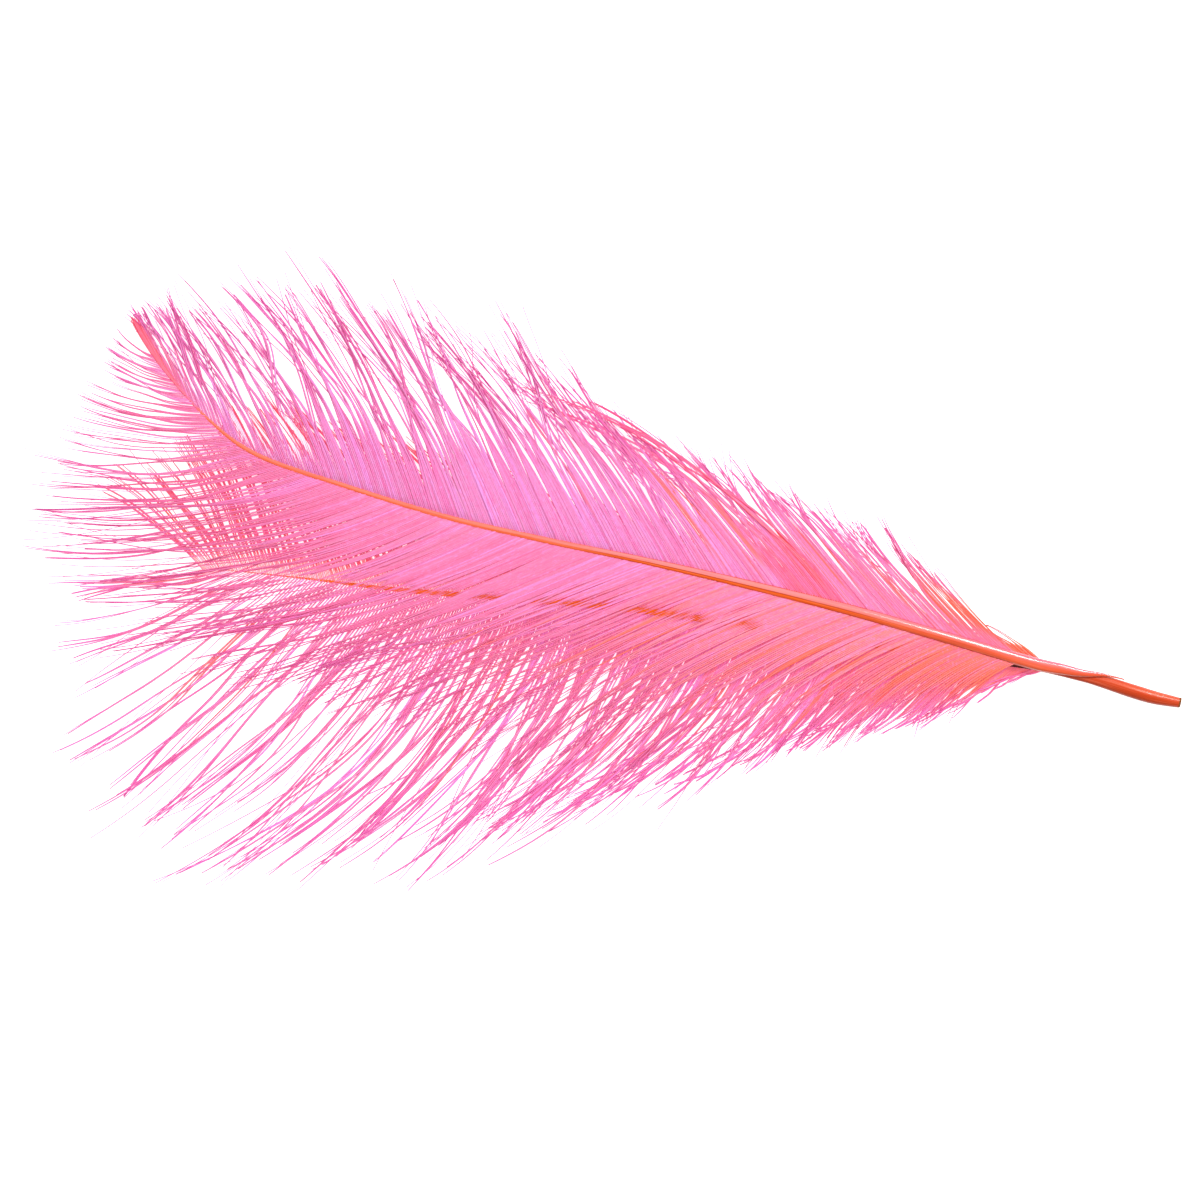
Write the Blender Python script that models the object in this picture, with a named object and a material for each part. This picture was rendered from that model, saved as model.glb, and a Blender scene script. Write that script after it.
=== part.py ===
"""A dyed ostrich plume made of two feathers, laid one on the other and joined at the quill.

Each feather is one closed body: a tapered shaft with a vane along both sides. The under
feather's shaft ends in the cut quill, and the upper one is shaved to a thin end that lies on that
quill. A vane is a thin sheet near the shaft and parts into long pointed locks, which droop
towards the surface that the plume lies on. Plan distances are in millimetres from the quill's
cut end, with the tip at -X and the upper edge of the plume at +Y. The finished model is in
metres, +Z up, with its origin below the middle of its box, on the surface it rests on.
"""

import math

import bmesh
import bpy
import numpy as np

MM = 0.001

# One row for each point along a shaft: x, y, width, thickness and height of its centreline.
UPPER_SHAFT = (
    (-18.4, 0.6, 0.4, 0.4, 2.7),
    (-20.5, 0.4, 0.5, 0.5, 2.9),
    (-24.0, -0.1, 0.9, 0.8, 3.2),
    (-27.0, -0.9, 1.5, 1.1, 3.4),
    (-31.0, -2.0, 2.2, 1.4, 3.6),
    (-37.0, -3.0, 3.2, 2.0, 3.9),
    (-46.4, -4.4, 3.7, 2.8, 4.6),
    (-70.7, -5.2, 3.6, 3.3, 6.5),
    (-101.5, -6.7, 3.6, 3.2, 8.0),
    (-131.6, -10.3, 2.9, 2.7, 8.9),
    (-161.5, -14.6, 2.4, 2.2, 9.2),
    (-191.1, -19.3, 2.0, 1.8, 9.0),
    (-221.5, -22.1, 1.6, 1.5, 8.2),
    (-252.1, -24.4, 1.4, 1.3, 6.8),
    (-279.7, -26.2, 1.3, 1.2, 5.2),
    (-297.1, -21.7, 1.3, 1.2, 4.0),
    (-312.8, -13.3, 1.8, 1.1, 2.8),
    (-322.0, -6.5, 2.5, 1.0, 2.0),
    (-330.0, 0.0, 2.2, 0.9, 1.2),
)
UNDER_SHAFT = (
    (0.0, 0.0, 2.9, 2.9, 1.45),
    (-8.0, -1.25, 3.9, 3.6, 1.8),
    (-15.0, -1.75, 4.1, 3.5, 1.75),
    (-24.0, -2.15, 3.7, 2.8, 1.4),
    (-31.0, -3.0, 2.9, 2.3, 1.2),
    (-46.0, -5.5, 3.1, 2.0, 1.1),
    (-70.0, -10.6, 3.2, 2.6, 2.2),
    (-109.5, -19.1, 2.6, 2.3, 3.4),
    (-124.0, -22.3, 2.4, 2.1, 3.7),
    (-164.6, -31.4, 2.0, 1.8, 4.2),
    (-198.8, -41.0, 1.7, 1.5, 4.2),
    (-229.8, -49.7, 1.5, 1.3, 3.8),
    (-256.0, -56.0, 1.3, 1.2, 3.1),
    (-284.5, -64.1, 1.2, 1.1, 2.2),
    (-305.0, -76.5, 1.2, 1.0, 1.3),
    (-319.5, -88.1, 1.2, 0.9, 0.6),
)

# One row for each place along a shaft: distance from its quill end, length of the barbs that grow
# there, and the angle in degrees between them and the shaft's direction towards its tip.
UPPER_NORTH_BARBS = (
    (28, 33, 30),
    (49, 45, 33),
    (83, 57, 37),
    (112, 81, 36),
    (143, 91, 41),
    (173, 87, 46),
    (204, 79, 48),
    (231, 73, 42),
    (251, 62, 40),
    (273, 46, 24),
    (293, 27, 9),
    (307, 14, 6),
)
UPPER_SOUTH_BARBS = (
    (28, 24, 53),
    (52, 57, 52),
    (71, 84, 49),
    (89, 98, 44),
    (143, 107, 34),
    (173, 111, 30),
    (204, 108, 28),
    (235, 91, 26),
    (251, 77, 24),
    (263, 63, 26),
    (273, 47, 34),
    (289, 29, 31),
    (307, 12, 25),
)
UNDER_NORTH_BARBS = (
    (57, 22, 25),
    (86, 41, 30),
    (115, 58, 32),
    (145, 68, 34),
    (175, 72, 37),
    (234, 73, 42),
    (254, 67, 41),
    (278, 55, 42),
    (293, 45, 42),
    (307, 33, 44),
    (323, 17, 38),
)
UNDER_SOUTH_BARBS = (
    (57, 28, 55),
    (76, 34, 56),
    (92, 43, 57),
    (109, 56, 58),
    (127, 70, 57),
    (145, 84, 58),
    (164, 89, 59),
    (181, 96, 59),
    (215, 107, 54),
    (232, 104, 53),
    (249, 97, 49),
    (263, 84, 45),
    (278, 67, 39),
    (293, 48, 26),
    (309, 31, 10),
    (323, 18, 6),
)
# How far the middle of a barb stands off its straight line, as a share of its length.
UPPER_NORTH_BOW = 0.055
UPPER_SOUTH_BOW = 0.045
UNDER_NORTH_BOW = 0.04
UNDER_SOUTH_BOW = 0.085

LOCKS_A_SIDE = 18
UPPER_VANE = (27.5, 305.0)
UNDER_VANE = (50.0, 322.0)
QUILL_RINGS = 8
END_RINGS = 2

# A vane's thickness where it leaves the shaft, halfway out and at a lock's tip.
ROOT_THICKNESS = 1.0
SHEET_THICKNESS = 0.95
TIP_THICKNESS = 0.5
LOCK_CROWN = 0.4
LEAST_THICKNESS = 0.12
TIP_WIDTH_SHARE = 0.06
LOCK_FULLNESS = 1.15

# The sheet parts into locks between these shares of a barb's length.
FIRST_SPLIT = 0.42
LAST_SPLIT = 0.62
SHEET_ROWS = 3
LOCK_ROWS = 5
TIP_SPREAD = 0.05

# The sheets fall from the shafts to the surface over this distance.
UNDER_FALL = 38.0
UPPER_NORTH_FALL = 26.0
UPPER_SOUTH_FALL = 34.0
LOW_SHEET = 0.3
FREE_TIP_SHEET = 0.3
STACK = 1.6
SNAP_TO_SURFACE = 0.15

# The upper feather's own weight brings it down to the surface beyond this edge, which is where
# the under feather's barbs end: x and y of its points, and the width of the slope.
COVERED_EDGE = ((-335.0, -34.0), (-318.0, -26.0), (-290.0, -9.0), (-220.0, 3.0), (-60.0, 4.0))
SLOPE_WIDTH = 15.0

# Where a sheet joins the side of a shaft, as a share of the shaft's half thickness.
SHEET_SEAT = 0.3
CURVE_STEPS = 24

UPPER_COLOUR = (0.93, 0.20, 0.52)
UNDER_COLOUR = (0.88, 0.17, 0.40)
VANE_ROUGHNESS = 0.6
SHARP_ANGLE = math.radians(50)


def smooth_curve(rows):
    """Samples of a Catmull-Rom curve through the rows, and each sample's distance along it."""
    p = np.array(rows, float)
    p = np.vstack([2 * p[0] - p[1], p, 2 * p[-1] - p[-2]])
    samples = []
    for i in range(1, len(p) - 2):
        a, b, c, d = p[i - 1 : i + 3]
        for t in np.linspace(0, 1, CURVE_STEPS, endpoint=False):
            cubic = 3 * b - a - 3 * c + d
            square = 2 * a - 5 * b + 4 * c - d
            samples.append(0.5 * (2 * b + (c - a) * t + square * t**2 + cubic * t**3))
    samples.append(p[-2])
    samples = np.array(samples)
    steps = np.linalg.norm(np.diff(samples[:, :2], axis=0), axis=1)
    return samples, np.concatenate([[0], np.cumsum(steps)])


class Shaft:
    """A feather's shaft: its place, direction, size and height at any distance from the quill end."""

    def __init__(self, rows):
        self.samples, self.along = smooth_curve(rows)
        self.length = self.along[-1]

    def row(self, s):
        return np.array([np.interp(s, self.along, column) for column in self.samples.T])

    def place(self, s):
        return self.row(s)[:2]

    def directions(self, s):
        """The unit vectors towards the tip and towards the north side, in plan."""
        ahead = self.place(min(s + 1.0, self.length))
        behind = self.place(max(s - 1.0, 0.0))
        tipward = (ahead - behind) / np.linalg.norm(ahead - behind)
        return tipward, np.array([tipward[1], -tipward[0]])

    def at_x(self, x):
        """y, width, thickness and height where the shaft passes this x."""
        order = self.samples[::-1]
        return [np.interp(x, order[:, 0], order[:, column]) for column in range(1, 5)]

    def seat(self, x):
        """The shaft's y and the height at which its sheets join it, where it passes this x."""
        y, _, thickness, height = self.at_x(x)
        return y, height + SHEET_SEAT * thickness / 2


class Vane:
    """One side of a feather: where each barb runs. side is 1 on the north and -1 on the south."""

    def __init__(self, shaft, side, barbs, bow):
        self.shaft = shaft
        self.side = side
        self.barbs = np.array(barbs, float)
        self.bow = bow

    def barb(self, s, v):
        """The point at share v of the length of the barb that grows at distance s."""
        length = np.interp(s, self.barbs[:, 0], self.barbs[:, 1])
        angle = math.radians(np.interp(s, self.barbs[:, 0], self.barbs[:, 2]))
        tipward, north = self.shaft.directions(s)
        outward = north * self.side
        chord = tipward * math.cos(angle) + outward * math.sin(angle)
        across = outward * math.cos(angle) - tipward * math.sin(angle)
        return self.shaft.place(s) + length * (chord * v + across * self.bow * 4 * v * (1 - v))


upper_shaft = Shaft(UPPER_SHAFT)
under_shaft = Shaft(UNDER_SHAFT)


def under_sheet(point):
    """The height of the middle of the under feather's sheet at a point of the plan."""
    x, y = point
    centre, peak = under_shaft.seat(x)
    fall = math.exp(-(((y - centre) / UNDER_FALL) ** 2))
    return LOW_SHEET + (peak - LOW_SHEET) * fall


def upper_sheet(point):
    """The height of the middle of the upper feather's sheet, which lies on the under feather."""
    x, y = point
    centre, peak = upper_shaft.seat(x)
    edge = np.interp(x, *np.array(COVERED_EDGE).T)
    beyond = min(max((y - edge) / SLOPE_WIDTH, 0.0), 1.0)
    free = beyond * beyond * (3 - 2 * beyond)
    bed = FREE_TIP_SHEET * free + (under_sheet(point) + STACK) * (1 - free)
    reach = UPPER_NORTH_FALL if y > centre else UPPER_SOUTH_FALL
    fall = math.exp(-(((y - centre) / reach) ** 2))
    return bed + (peak - bed) * fall


def split_share(index):
    """Where the sheet parts beside a lock, uneven from one lock to the next."""
    return FIRST_SPLIT + (LAST_SPLIT - FIRST_SPLIT) * (0.5 + 0.5 * math.sin(2.4 * index + 0.7))


def reach_share(index):
    """How far a lock's tip reaches, as a share of its barbs' length."""
    return 1.0 + TIP_SPREAD * math.sin(1.9 * index + 0.4)


class FeatherMesh:
    """Builds one feather as a closed mesh: rings round the shaft, with sheets and locks at its sides."""

    def __init__(self, shaft, sheet_height, vane_span, crowned):
        self.mesh = bmesh.new()
        self.shaft = shaft
        self.sheet_height = sheet_height
        self.vane_span = vane_span
        self.crowned = crowned

    def vertex(self, x, y, z):
        return self.mesh.verts.new((x * MM, y * MM, z * MM))

    def ring(self, s, in_vane):
        """Ten vertices round the shaft. Numbers 2, 3, 7 and 8 are where the sheets join it."""
        x, y, width, thickness, height = self.shaft.row(s)
        _, north = self.shaft.directions(s)
        a = width / 2
        b = thickness / 2
        seat = SHEET_SEAT * b if in_vane else 0.0
        half = min(ROOT_THICKNESS, b) / 2 if in_vane else 0.35 * b
        profile = (
            (0.0, b),
            (0.7 * a, 0.78 * b),
            (a, seat + half),
            (a, seat - half),
            (0.7 * a, -0.78 * b),
            (0.0, -b),
            (-0.7 * a, -0.78 * b),
            (-a, seat - half),
            (-a, seat + half),
            (-0.7 * a, 0.78 * b),
        )
        return [
            self.vertex(x + north[0] * n, y + north[1] * n, max(height + z, 0.0))
            for n, z in profile
        ]

    def pair(self, point, v, crown=0.0):
        """The vertices on the top and the underside of a sheet at a point of the plan."""
        middle = self.sheet_height(point)
        half = np.interp(v, (0, 0.2, 1), (ROOT_THICKNESS, SHEET_THICKNESS, TIP_THICKNESS)) / 2
        low = middle - half
        if low < SNAP_TO_SURFACE:
            low = 0.0
        high = max(middle + half, low + LEAST_THICKNESS) + crown
        return self.vertex(*point, high), self.vertex(*point, low)

    def skin(self, a, b):
        """The top and the underside between two neighbouring columns' pairs at two rows."""
        (top_a, low_a), (top_b, low_b) = a[0], b[0]
        (top_c, low_c), (top_d, low_d) = a[1], b[1]
        self.mesh.faces.new((top_a, top_b, top_d, top_c))
        self.mesh.faces.new((low_a, low_c, low_d, low_b))

    def wall(self, a, b):
        """The edge of a sheet between two pairs."""
        self.mesh.faces.new((a[0], b[0], b[1], a[1]))

    def vane(self, vane, stations, roots):
        """The sheet and the locks on one side. roots are the pairs on the shaft, one a station."""
        columns = len(stations)
        splits = [split_share(k) for k in range(columns)]
        rows = [roots]
        for j in range(1, SHEET_ROWS + 1):
            row = []
            for k, s in enumerate(stations):
                v = splits[k] * j / SHEET_ROWS
                crown = self.crowned * LOCK_CROWN * (k % 2) * j / SHEET_ROWS
                row.append(self.pair(vane.barb(s, v), v, crown))
            rows.append(row)
        for near, far in zip(rows, rows[1:]):
            for k in range(columns - 1):
                self.skin((near[k], far[k]), (near[k + 1], far[k + 1]))
            self.wall(near[0], far[0])
            self.wall(near[-1], far[-1])
        for k in range(1, columns, 2):
            self.lock(vane, stations, rows[-1], k, splits[k])

    def lock(self, vane, stations, start, k, split):
        """One lock: it leaves the sheet at three pairs of its last row and narrows to its tip."""
        s = stations[k]
        base = vane.barb(s, split)
        offsets = [np.array(start[i][0].co.xy) / MM - base for i in (k - 1, k + 1)]
        previous = [start[k - 1], start[k], start[k + 1]]
        reach = reach_share(k)
        for j in range(1, LOCK_ROWS + 1):
            w = j / LOCK_ROWS
            v = split + (reach - split) * w
            centre = vane.barb(s, v)
            width = TIP_WIDTH_SHARE + (1 - TIP_WIDTH_SHARE) * (1 - w**LOCK_FULLNESS)
            crown = self.crowned * LOCK_CROWN * (1 - w)
            row = [
                self.pair(centre + offsets[0] * width, v),
                self.pair(centre, v, crown),
                self.pair(centre + offsets[1] * width, v),
            ]
            self.skin((previous[0], row[0]), (previous[1], row[1]))
            self.skin((previous[1], row[1]), (previous[2], row[2]))
            self.wall(previous[0], row[0])
            self.wall(previous[2], row[2])
            previous = row
        self.wall(previous[0], previous[1])
        self.wall(previous[1], previous[2])

    def build(self, name, north, south, colour):
        first, last = self.vane_span
        stations = list(np.linspace(first, last, 2 * LOCKS_A_SIDE + 1))
        before = list(np.linspace(0, first, QUILL_RINGS, endpoint=False))
        after = list(np.linspace(last, self.shaft.length, END_RINGS + 1)[1:])
        rings = [self.ring(s, False) for s in before]
        rings += [self.ring(s, True) for s in stations]
        rings += [self.ring(s, False) for s in after]
        first_ring = len(before)
        last_ring = first_ring + len(stations) - 1
        for i in range(len(rings) - 1):
            for side in range(10):
                if first_ring <= i < last_ring and side in (2, 7):
                    continue
                other = (side + 1) % 10
                quad = (rings[i][side], rings[i][other], rings[i + 1][other], rings[i + 1][side])
                self.mesh.faces.new(quad)
        self.mesh.faces.new(rings[0])
        self.mesh.faces.new(rings[-1][::-1])
        in_vane = rings[first_ring : last_ring + 1]
        self.vane(north, stations, [(ring[2], ring[3]) for ring in in_vane])
        self.vane(south, stations, [(ring[8], ring[7]) for ring in in_vane])
        bmesh.ops.recalc_face_normals(self.mesh, faces=self.mesh.faces)
        bmesh.ops.triangulate(self.mesh, faces=self.mesh.faces)
        data = bpy.data.meshes.new(name)
        self.mesh.to_mesh(data)
        self.mesh.free()
        data.shade_smooth()
        data.set_sharp_from_angle(angle=SHARP_ANGLE)
        feather = bpy.data.objects.new(name, data)
        bpy.context.scene.collection.objects.link(feather)
        feather.data.materials.append(dyed_material(name + "_dye", colour))
        return feather


def dyed_material(name, colour):
    material = bpy.data.materials.new(name)
    material.use_nodes = True
    surface = material.node_tree.nodes["Principled BSDF"]
    surface.inputs["Base Color"].default_value = (*colour, 1.0)
    surface.inputs["Roughness"].default_value = VANE_ROUGHNESS
    surface.inputs["Metallic"].default_value = 0.0
    return material


def centre_on_surface(feathers):
    """Puts the origin below the middle of both feathers' box, at the height of their lowest point."""
    corners = np.array([v.co[:] for feather in feathers for v in feather.data.vertices])
    low, high = corners.min(axis=0), corners.max(axis=0)
    shift = (-(low[0] + high[0]) / 2, -(low[1] + high[1]) / 2, -low[2])
    for feather in feathers:
        for vertex in feather.data.vertices:
            vertex.co.x += shift[0]
            vertex.co.y += shift[1]
            vertex.co.z += shift[2]


for old in list(bpy.data.objects):
    bpy.data.objects.remove(old, do_unlink=True)

under_feather = FeatherMesh(under_shaft, under_sheet, UNDER_VANE, 0.5).build(
    "under_feather",
    Vane(under_shaft, 1, UNDER_NORTH_BARBS, UNDER_NORTH_BOW),
    Vane(under_shaft, -1, UNDER_SOUTH_BARBS, UNDER_SOUTH_BOW),
    UNDER_COLOUR,
)
upper_feather = FeatherMesh(upper_shaft, upper_sheet, UPPER_VANE, 1.0).build(
    "upper_feather",
    Vane(upper_shaft, 1, UPPER_NORTH_BARBS, UPPER_NORTH_BOW),
    Vane(upper_shaft, -1, UPPER_SOUTH_BARBS, UPPER_SOUTH_BOW),
    UPPER_COLOUR,
)
centre_on_surface([upper_feather, under_feather])
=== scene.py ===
import math

import bpy
import numpy as np
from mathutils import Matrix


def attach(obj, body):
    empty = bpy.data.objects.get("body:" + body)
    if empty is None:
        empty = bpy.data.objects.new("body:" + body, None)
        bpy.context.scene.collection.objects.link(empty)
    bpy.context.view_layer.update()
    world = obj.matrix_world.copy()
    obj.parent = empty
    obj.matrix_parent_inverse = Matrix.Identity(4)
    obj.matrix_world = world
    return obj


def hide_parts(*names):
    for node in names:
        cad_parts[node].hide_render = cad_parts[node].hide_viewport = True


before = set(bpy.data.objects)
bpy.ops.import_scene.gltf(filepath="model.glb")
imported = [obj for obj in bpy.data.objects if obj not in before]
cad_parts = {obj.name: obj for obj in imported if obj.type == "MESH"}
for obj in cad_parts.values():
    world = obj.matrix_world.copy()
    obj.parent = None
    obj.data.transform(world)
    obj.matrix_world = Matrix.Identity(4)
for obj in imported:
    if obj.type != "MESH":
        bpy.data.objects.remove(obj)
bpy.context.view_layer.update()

# The under feather's shaft and quill: one tapered tube of horn, dyed orange-red. The quill is its
# bare end, cut square and hollow; the rest is flattened and carries the barbs. The feather lies with
# the outer face of the shaft up. Distances are in millimetres from the cut end.
MM = 0.001
UNDER_SHAFT = (  # x, y, width, thickness and height of the middle
    (0.0, 0.0, 2.9, 2.9, 1.45),
    (-8.0, -1.25, 3.9, 3.6, 1.8),
    (-15.0, -1.75, 4.1, 3.5, 1.75),
    (-24.0, -2.15, 3.7, 2.8, 1.4),
    (-31.0, -3.0, 2.9, 2.3, 1.2),
    (-46.0, -5.1, 2.8, 2.0, 1.1),
    (-70.0, -10.6, 3.2, 2.6, 2.2),
    (-109.5, -19.1, 2.6, 2.3, 3.4),
    (-124.0, -22.3, 2.4, 2.1, 3.7),
    (-164.6, -31.4, 2.0, 1.8, 4.2),
    (-198.8, -41.0, 1.7, 1.5, 4.2),
    (-229.8, -49.7, 1.5, 1.3, 3.8),
    (-256.0, -56.0, 1.3, 1.2, 3.1),
    (-284.5, -64.1, 1.2, 1.1, 2.2),
    (-305.0, -76.5, 1.2, 1.0, 1.3),
    (-319.5, -88.1, 1.2, 0.9, 0.6),
)
QUILL_BORE = 0.7
QUILL_BORE_DEPTH = 6.0
CUT_EDGE = 0.9  # the brown edge of the cut
CUT_SLANT = 0.7  # the cut leans back by this much at the top
SHAFT_RING = 28
SHAFT_STEP = 1.3
UNDER_SHAFT_THINS = (225.0, 285.0)  # the horn thins to a bristle between these distances
UNDER_SHAFT_THINNING = 0.9
SHEET_SEAT = 0.3  # a vane joins the shaft this share of half its thickness above its middle


def quill_end_place():
    """The middle of the quill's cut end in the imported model: its plan distances start there."""
    points = np.array([v.co[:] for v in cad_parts["under_feather"].data.vertices])
    ring = points[points[:, 0] > points[:, 0].max() - 0.5 * MM]
    return np.unique(ring.round(7), axis=0)[:, :2].mean(axis=0)


QUILL_END = quill_end_place()


def placed(points):
    """Points in millimetres from the cut end as places in the model, in metres."""
    out = np.asarray(points, float) * MM
    out[..., 0] += QUILL_END[0]
    out[..., 1] += QUILL_END[1]
    return out


def smooth_curve(rows, steps=24):
    """Samples of a smooth curve through the rows, and each one's distance along it in plan."""
    p = np.array(rows, float)
    p = np.vstack([2 * p[0] - p[1], p, 2 * p[-1] - p[-2]])
    samples = []
    for i in range(1, len(p) - 2):
        a, b, c, d = p[i - 1 : i + 3]
        for t in np.linspace(0, 1, steps, endpoint=False):
            cubic = 3 * b - a - 3 * c + d
            square = 2 * a - 5 * b + 4 * c - d
            samples.append(0.5 * (2 * b + (c - a) * t + square * t**2 + cubic * t**3))
    samples.append(p[-2])
    samples = np.array(samples)
    lengths = np.linalg.norm(np.diff(samples[:, :2], axis=0), axis=1)
    return samples, np.concatenate([[0], np.cumsum(lengths)])


class Shaft:
    """A feather's shaft: its place, direction and size at any distance from its quill end."""

    def __init__(self, rows):
        self.samples, self.along = smooth_curve(rows)
        self.length = self.along[-1]

    def row(self, s):
        return np.stack([np.interp(s, self.along, column) for column in self.samples.T], axis=-1)

    def place(self, s):
        return self.row(s)[..., :2]

    def directions(self, s):
        """The unit vectors towards the tip and towards the north side, in plan."""
        ahead = self.place(np.minimum(s + 1.0, self.length)) - self.place(np.maximum(s - 1.0, 0.0))
        tipward = ahead / np.linalg.norm(ahead, axis=-1, keepdims=True)
        return tipward, np.stack([tipward[..., 1], -tipward[..., 0]], axis=-1)

    def seat(self, x):
        """The shaft's y and the height at which its vanes join it, where it passes this x."""
        order = self.samples[::-1]
        y, thickness, height = (np.interp(x, order[:, 0], order[:, c]) for c in (1, 3, 4))
        return y, height + SHEET_SEAT * thickness / 2


def feather_piece(name, points, faces, measures, finish, node):
    """Makes a piece of a feather, with what its material reads at each point, and seats it."""
    data = bpy.data.meshes.new(name)
    data.from_pydata(points.tolist(), [], faces)
    for measure, values in measures.items():
        layer = data.attributes.new(measure, "FLOAT", "POINT")
        layer.data.foreach_set("value", np.asarray(values, np.float32).ravel())
    data.shade_smooth()
    data.materials.append(finish)
    piece = bpy.data.objects.new(name, data)
    bpy.context.scene.collection.objects.link(piece)
    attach(piece, "root")
    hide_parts(node)


def tube_faces(rings, around):
    """The faces of a closed tube: its sides, ring after ring, and its two ends."""
    faces = []
    for i in range(rings - 1):
        for k in range(around):
            a = i * around + k
            b = i * around + (k + 1) % around
            faces.append((a, b, b + around, a + around))
    faces.append(tuple(range(around))[::-1])
    faces.append(tuple(range((rings - 1) * around, rings * around)))
    return faces


def shaft_tube(shaft, stations, scale=1.0, lowest=0.0):
    """Rings of points round a shaft, and each point's place across it: 0 south, 1 north."""
    rows = shaft.row(stations)
    _, north = shaft.directions(stations)
    turn = np.linspace(0, 2 * math.pi, SHAFT_RING, endpoint=False)
    sideways = np.sign(np.cos(turn)) * np.abs(np.cos(turn)) ** 0.85
    upward = np.sign(np.sin(turn)) * np.abs(np.sin(turn)) ** 0.9
    n = rows[:, None, 2] / 2 * scale * sideways
    z = rows[:, None, 4] + rows[:, None, 3] / 2 * scale * upward
    plan = rows[:, None, :2] + north[:, None, :] * n[..., None]
    points = np.concatenate([plan, np.maximum(z, lowest)[..., None]], axis=-1)
    across = np.broadcast_to(0.5 + 0.5 * np.cos(turn), n.shape)
    along = np.broadcast_to(stations[:, None], n.shape)
    return points, across, along


class Shade:
    """A socket of a material's nodes. Sums, products and the like of shades add Math nodes."""

    def __init__(self, tree, socket=None):
        self.tree = tree
        self.socket = socket

    def node(self, kind, settings=(), inputs=(), output=0):
        """Another node: its type, its settings, and the values or links of its sockets."""
        made = self.tree.nodes.new(kind)
        for key, value in dict(settings).items():
            if key == "stops":
                ramp = made.color_ramp.elements
                ramp.remove(ramp[1])
                ramp[0].position, ramp[0].color = value[0]
                for place, colour in value[1:]:
                    ramp.new(place).color = colour
            else:
                setattr(made, key, value)
        for key, value in dict(inputs).items():
            if isinstance(value, Shade):
                self.tree.links.new(value.socket, made.inputs[key])
            else:
                made.inputs[key].default_value = value
        return Shade(self.tree, made.outputs[output])

    def measure(self, name):
        """What the mesh says at each point under this name."""
        return self.node("ShaderNodeAttribute", {"attribute_name": name}, output="Fac")

    def math(self, operation, *values):
        return self.node("ShaderNodeMath", {"operation": operation}, enumerate(values))

    def __add__(self, other):
        return self.math("ADD", self, other)

    def __mul__(self, other):
        return self.math("MULTIPLY", self, other)

    def __sub__(self, other):
        return self.math("SUBTRACT", self, other)

    def __rsub__(self, other):
        return self.math("SUBTRACT", other, self)

    def __pow__(self, other):
        return self.math("POWER", self, other)

    __radd__ = __add__
    __rmul__ = __mul__

    def rise(self, low, high):
        """0 below low and 1 above high, with a soft step between them."""
        settings = {"interpolation_type": "SMOOTHSTEP"}
        return self.node("ShaderNodeMapRange", settings, {0: self, 1: low, 2: high})

    def mix(self, without, given):
        """The colour without where this shade is 0, and the colour given where it is 1."""
        settings = {"data_type": "RGBA", "clamp_factor": True}
        return self.node("ShaderNodeMix", settings, {0: self, 6: without, 7: given}, 2)

    def grain(self, scale, detail, *axes):
        """Noise, 0 to 1, over a space of these shades, such as a place along and across a shaft."""
        space = self.node("ShaderNodeCombineXYZ", (), enumerate(axes))
        settings = {"noise_dimensions": "3D"}
        inputs = {"Vector": space, "Scale": scale, "Detail": detail}
        return self.node("ShaderNodeTexNoise", settings, inputs)

    def ramp(self, stops):
        return self.node("ShaderNodeValToRGB", {"stops": stops}, {0: self})


def dye(red, green, blue):
    """A dye colour from its 0 to 255 screen values."""
    values = []
    for channel in (red, green, blue):
        c = channel / 255
        values.append(c / 12.92 if c <= 0.04045 else ((c + 0.055) / 1.055) ** 2.4)
    return (*values, 1.0)


def new_finish(name):
    """A material with its surface, and a shade to start its expressions from."""
    material = bpy.data.materials.new(name)
    material.use_nodes = True
    surface = material.node_tree.nodes["Principled BSDF"]
    return material, surface, Shade(material.node_tree)


def feed(start, surface, socket, shade):
    start.tree.links.new(shade.socket, surface.inputs[socket])


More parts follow.
